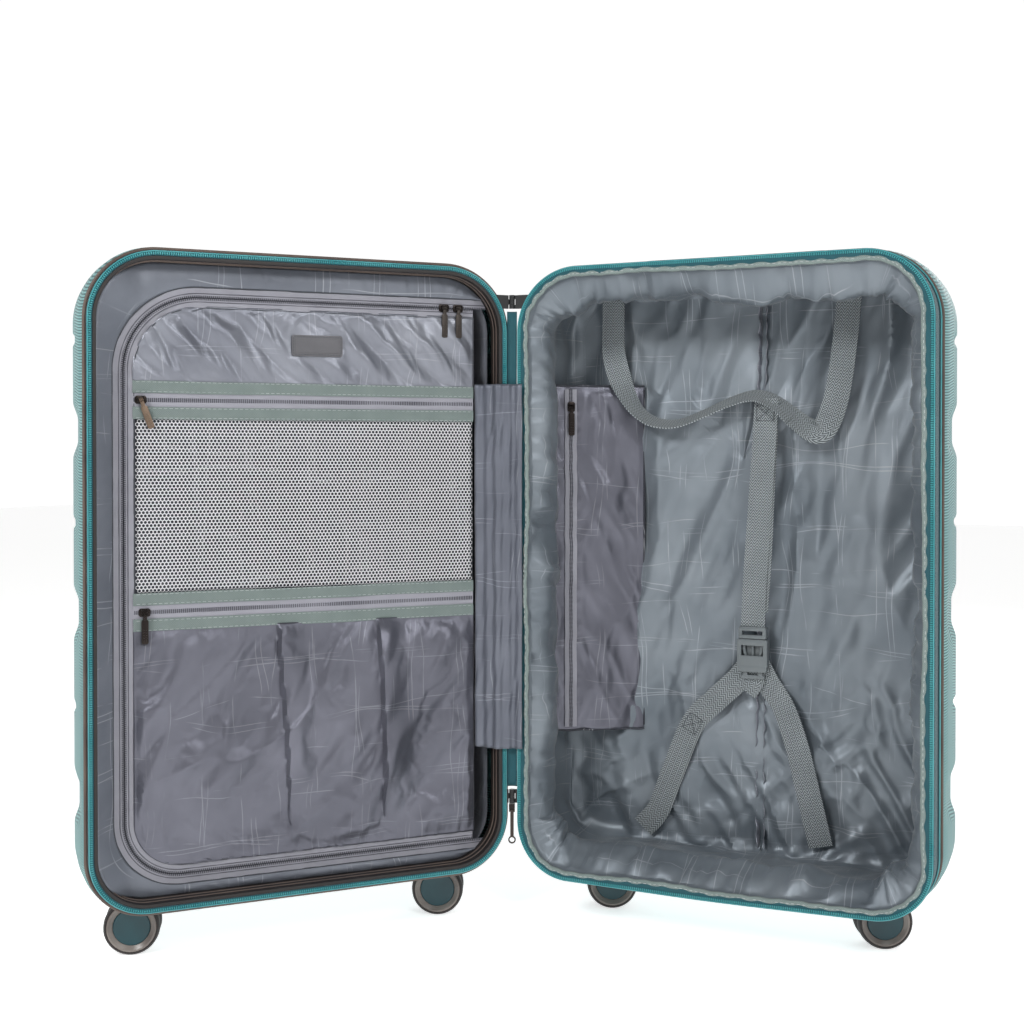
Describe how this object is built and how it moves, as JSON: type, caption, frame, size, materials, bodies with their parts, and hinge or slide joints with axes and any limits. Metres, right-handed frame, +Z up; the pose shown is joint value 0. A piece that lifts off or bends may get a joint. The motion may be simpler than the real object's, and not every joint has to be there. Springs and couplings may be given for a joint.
{
  "type": "hard shell suitcase",
  "caption": "Hard shell suitcase on twin-wheel casters, standing open like a book, with a zipped divider, packing straps and a telescopic handle.",
  "frame": {"origin": "centre of the bottom of the open suitcase bounding box, on the floor under the casters", "axes": "+Z up; +X along the rear half from its hinge side to its far side; +Y from the rear rim into the rear shell, so the packing side opens towards -Y"},
  "size_m": [0.788, 0.462, 0.69],
  "materials": {
    "shell_teal": "moulded teal, hatched texture",
    "piping_brown": "soft piping",
    "zip_teal": "woven zip tape and gusset",
    "zip_coil_teal": "coil zip",
    "binding_green": "grosgrain binding",
    "lining_grey": "shiny woven polyester",
    "track_grey": "zip tape",
    "mesh_white": "knitted mesh",
    "webbing_grey": "herringbone webbing",
    "buckle_grey": "moulded acetal",
    "black_band": "inner band",
    "black_plastic": "moulded",
    "tube_alu": "drawn tube",
    "pin_steel": "plain pin",
    "slider_dark": "black nickel",
    "pull_bronze": "brushed bronze lacquer",
    "pull_dark": "gunmetal",
    "label_leather": "blank stitched patch",
    "tail_brown": "narrow webbing with a ring",
    "hinge_cover_fabric": "ribbed cover",
    "caster_teal": "moulded",
    "wheel_dark": "twin wheels",
    "handle_teal": "over-moulded handle"
  },
  "bodies": {
    "rear_half": {"rear_shell": "shell_teal", "rear_piping": "piping_brown", "expander_gusset": "zip_teal", "expander_zip": "zip_coil_teal", "rear_lining": "lining_grey", "side_pocket": "lining_grey", "trolley_housing": "black_plastic", "outer_tubes": "tube_alu", "trolley_foot": "black_plastic", "loop_strap": "webbing_grey", "anchor_straps": "webbing_grey", "buckle_socket": "buckle_grey", "handle_mounts": "black_plastic", "rear_caster_mounts": "caster_teal"},
    "rear_rim": {"rear_zip": "zip_teal", "rear_binding": "binding_green", "hinge_rear": "black_plastic", "hinge_pins": "pin_steel", "hinge_tape": "zip_teal", "main_slider": "slider_dark"},
    "tail": {"main_tail": "tail_brown"},
    "trolley_mid": {"mid_tubes": "tube_alu"},
    "trolley_top": {"inner_tubes": "tube_alu", "grip": "black_plastic"},
    "release": {"grip_button": "black_plastic"},
    "carry_handle": {"top_handle": "handle_teal"},
    "plug": {"buckle_plug": "buckle_grey", "centre_strap": "webbing_grey"},
    "lid": {"front_shell": "shell_teal", "front_piping": "piping_brown", "front_zip": "zip_teal", "inner_rim": "black_band", "front_lining": "lining_grey", "divider_track": "track_grey", "hinge_front": "black_plastic", "hinge_cover": "hinge_cover_fabric", "front_caster_mounts": "caster_teal"},
    "divider": {"divider_panel": "lining_grey", "pocket_zip_bands": "binding_green", "mesh_pocket": "mesh_white", "lower_pocket": "lining_grey", "label_patch": "label_leather"},
    "caster_1": {"fork_1": "caster_teal"},
    "wheel_1": {"wheels_1": "wheel_dark"},
    "caster_2": {"fork_2": "caster_teal"},
    "wheel_2": {"wheels_2": "wheel_dark"},
    "caster_3": {"fork_3": "caster_teal"},
    "wheel_3": {"wheels_3": "wheel_dark"},
    "caster_4": {"fork_4": "caster_teal"},
    "wheel_4": {"wheels_4": "wheel_dark"},
    "divider_slider_a_body": {"divider_slider_a": "slider_dark"},
    "divider_slider_b_body": {"divider_slider_b": "slider_dark"},
    "mesh_slider_body": {"mesh_slider": "slider_dark"},
    "lower_slider_body": {"lower_slider": "slider_dark"},
    "side_slider_body": {"side_slider": "slider_dark"},
    "divider_pull_a_body": {"divider_pull_a": "pull_bronze"},
    "divider_pull_b_body": {"divider_pull_b": "pull_dark"},
    "mesh_pull_body": {"mesh_pull": "pull_bronze"},
    "lower_pull_body": {"lower_pull": "slider_dark"},
    "side_pull_body": {"side_pull": "slider_dark"}
  },
  "joints": [
    {"name": "expander", "type": "slide", "parent": "rear_half", "child": "rear_rim", "axis": [0, 1, 0], "range_m": [0, 0.02], "deforming": ["expander_gusset"]},
    {"name": "lid_hinge", "type": "hinge", "parent": "rear_rim", "child": "lid", "pos_m": [-0.03851, 0.08497, 0.366], "axis": [0, 0, 1], "range_deg": [-48, 132]},
    {"name": "divider_flap", "type": "hinge", "parent": "lid", "child": "divider", "pos_m": [-0.07893, 0.07595, 0.366], "axis": [0, 0, -1], "range_deg": [-100, 0]},
    {"name": "trolley_lower_stage", "type": "slide", "parent": "rear_half", "child": "trolley_mid", "axis": [0, 0, 1], "range_m": [0, 0.205]},
    {"name": "trolley_upper_stage", "type": "slide", "parent": "trolley_mid", "child": "trolley_top", "axis": [0, 0, 1], "range_m": [0, 0.205]},
    {"name": "release_press", "type": "slide", "parent": "trolley_top", "child": "release", "axis": [0, 0, -1], "range_m": [0, 0.003], "stiffness_N_per_m": 600},
    {"name": "handle_lift", "type": "slide", "parent": "rear_half", "child": "carry_handle", "axis": [0, 0, 1], "range_m": [0, 0.013]},
    {"name": "buckle_release", "type": "slide", "parent": "rear_half", "child": "plug", "axis": [0, 0, 1], "range_m": [0, 0.025]},
    {"name": "tail_swing", "type": "hinge", "parent": "rear_rim", "child": "tail", "pos_m": [-0.03851, 0.08497, 0.113], "axis": [0.9397, 0.342, 0], "range_deg": [0, 60]},
    {"name": "caster_swivel_1", "type": "hinge", "parent": "lid", "child": "caster_1", "pos_m": [-0.13098, 0.06596, 0.057], "axis": [0, 0, 1], "continuous": true},
    {"name": "wheel_spin_1", "type": "hinge", "parent": "caster_1", "child": "wheel_1", "pos_m": [-0.1192, 0.07146, 0.027], "axis": [-0.4226, 0.9063, 0], "continuous": true},
    {"name": "caster_swivel_2", "type": "hinge", "parent": "lid", "child": "caster_2", "pos_m": [-0.32503, -0.14955, 0.057], "axis": [0, 0, 1], "continuous": true},
    {"name": "wheel_spin_2", "type": "hinge", "parent": "caster_2", "child": "wheel_2", "pos_m": [-0.33581, -0.15682, 0.027], "axis": [-0.5592, 0.829, 0], "continuous": true},
    {"name": "caster_swivel_3", "type": "hinge", "parent": "rear_half", "child": "caster_3", "pos_m": [0.02949, 0.16297, 0.057], "axis": [0, 0, 1], "continuous": true},
    {"name": "wheel_spin_3", "type": "hinge", "parent": "caster_3", "child": "wheel_3", "pos_m": [0.04127, 0.16846, 0.027], "axis": [-0.4226, 0.9063, 0], "continuous": true},
    {"name": "caster_swivel_4", "type": "hinge", "parent": "rear_half", "child": "caster_4", "pos_m": [0.31549, 0.16297, 0.057], "axis": [0, 0, 1], "continuous": true},
    {"name": "wheel_spin_4", "type": "hinge", "parent": "caster_4", "child": "wheel_4", "pos_m": [0.32727, 0.16846, 0.027], "axis": [-0.4226, 0.9063, 0], "continuous": true},
    {"name": "divider_slide_a", "type": "slide", "parent": "divider", "child": "divider_slider_a_body", "axis": [-0.6691, -0.7431, 0], "range_m": [-0.012, 0]},
    {"name": "divider_slide_b", "type": "slide", "parent": "divider", "child": "divider_slider_b_body", "axis": [-0.6691, -0.7431, 0], "range_m": [0, 0.24]},
    {"name": "mesh_slide", "type": "slide", "parent": "divider", "child": "mesh_slider_body", "axis": [0.6691, 0.7431, 0], "range_m": [0, 0.32]},
    {"name": "lower_slide", "type": "slide", "parent": "divider", "child": "lower_slider_body", "axis": [0.6691, 0.7431, 0], "range_m": [0, 0.315]},
    {"name": "divider_pull_swing_a", "type": "hinge", "parent": "divider_slider_a_body", "child": "divider_pull_a_body", "pos_m": [-0.0878, 0.05937, 0.638], "axis": [-0.6691, -0.7431, 0], "range_deg": [0, 120]},
    {"name": "divider_pull_swing_b", "type": "hinge", "parent": "divider_slider_b_body", "child": "divider_pull_b_body", "pos_m": [-0.09817, 0.04786, 0.638], "axis": [-0.6691, -0.7431, 0], "range_deg": [0, 120]},
    {"name": "mesh_pull_swing", "type": "hinge", "parent": "mesh_slider_body", "child": "mesh_pull_body", "pos_m": [-0.30281, -0.18166, 0.5385], "axis": [-0.6288, -0.6983, -0.342], "range_deg": [0, 160]},
    {"name": "lower_pull_swing", "type": "hinge", "parent": "lower_slider_body", "child": "lower_pull_body", "pos_m": [-0.3008, -0.17944, 0.3355], "axis": [-0.6691, -0.7431, 0], "range_deg": [0, 160]},
    {"name": "side_slide", "type": "slide", "parent": "rear_half", "child": "side_slider_body", "axis": [0, 0, -1], "range_m": [0, 0.32]},
    {"name": "side_pull_swing", "type": "hinge", "parent": "side_slider_body", "child": "side_pull_body", "pos_m": [0.00096, 0.15246, 0.537], "axis": [-0.848, -0.5299, 0], "range_deg": [0, 160]}
  ]
}
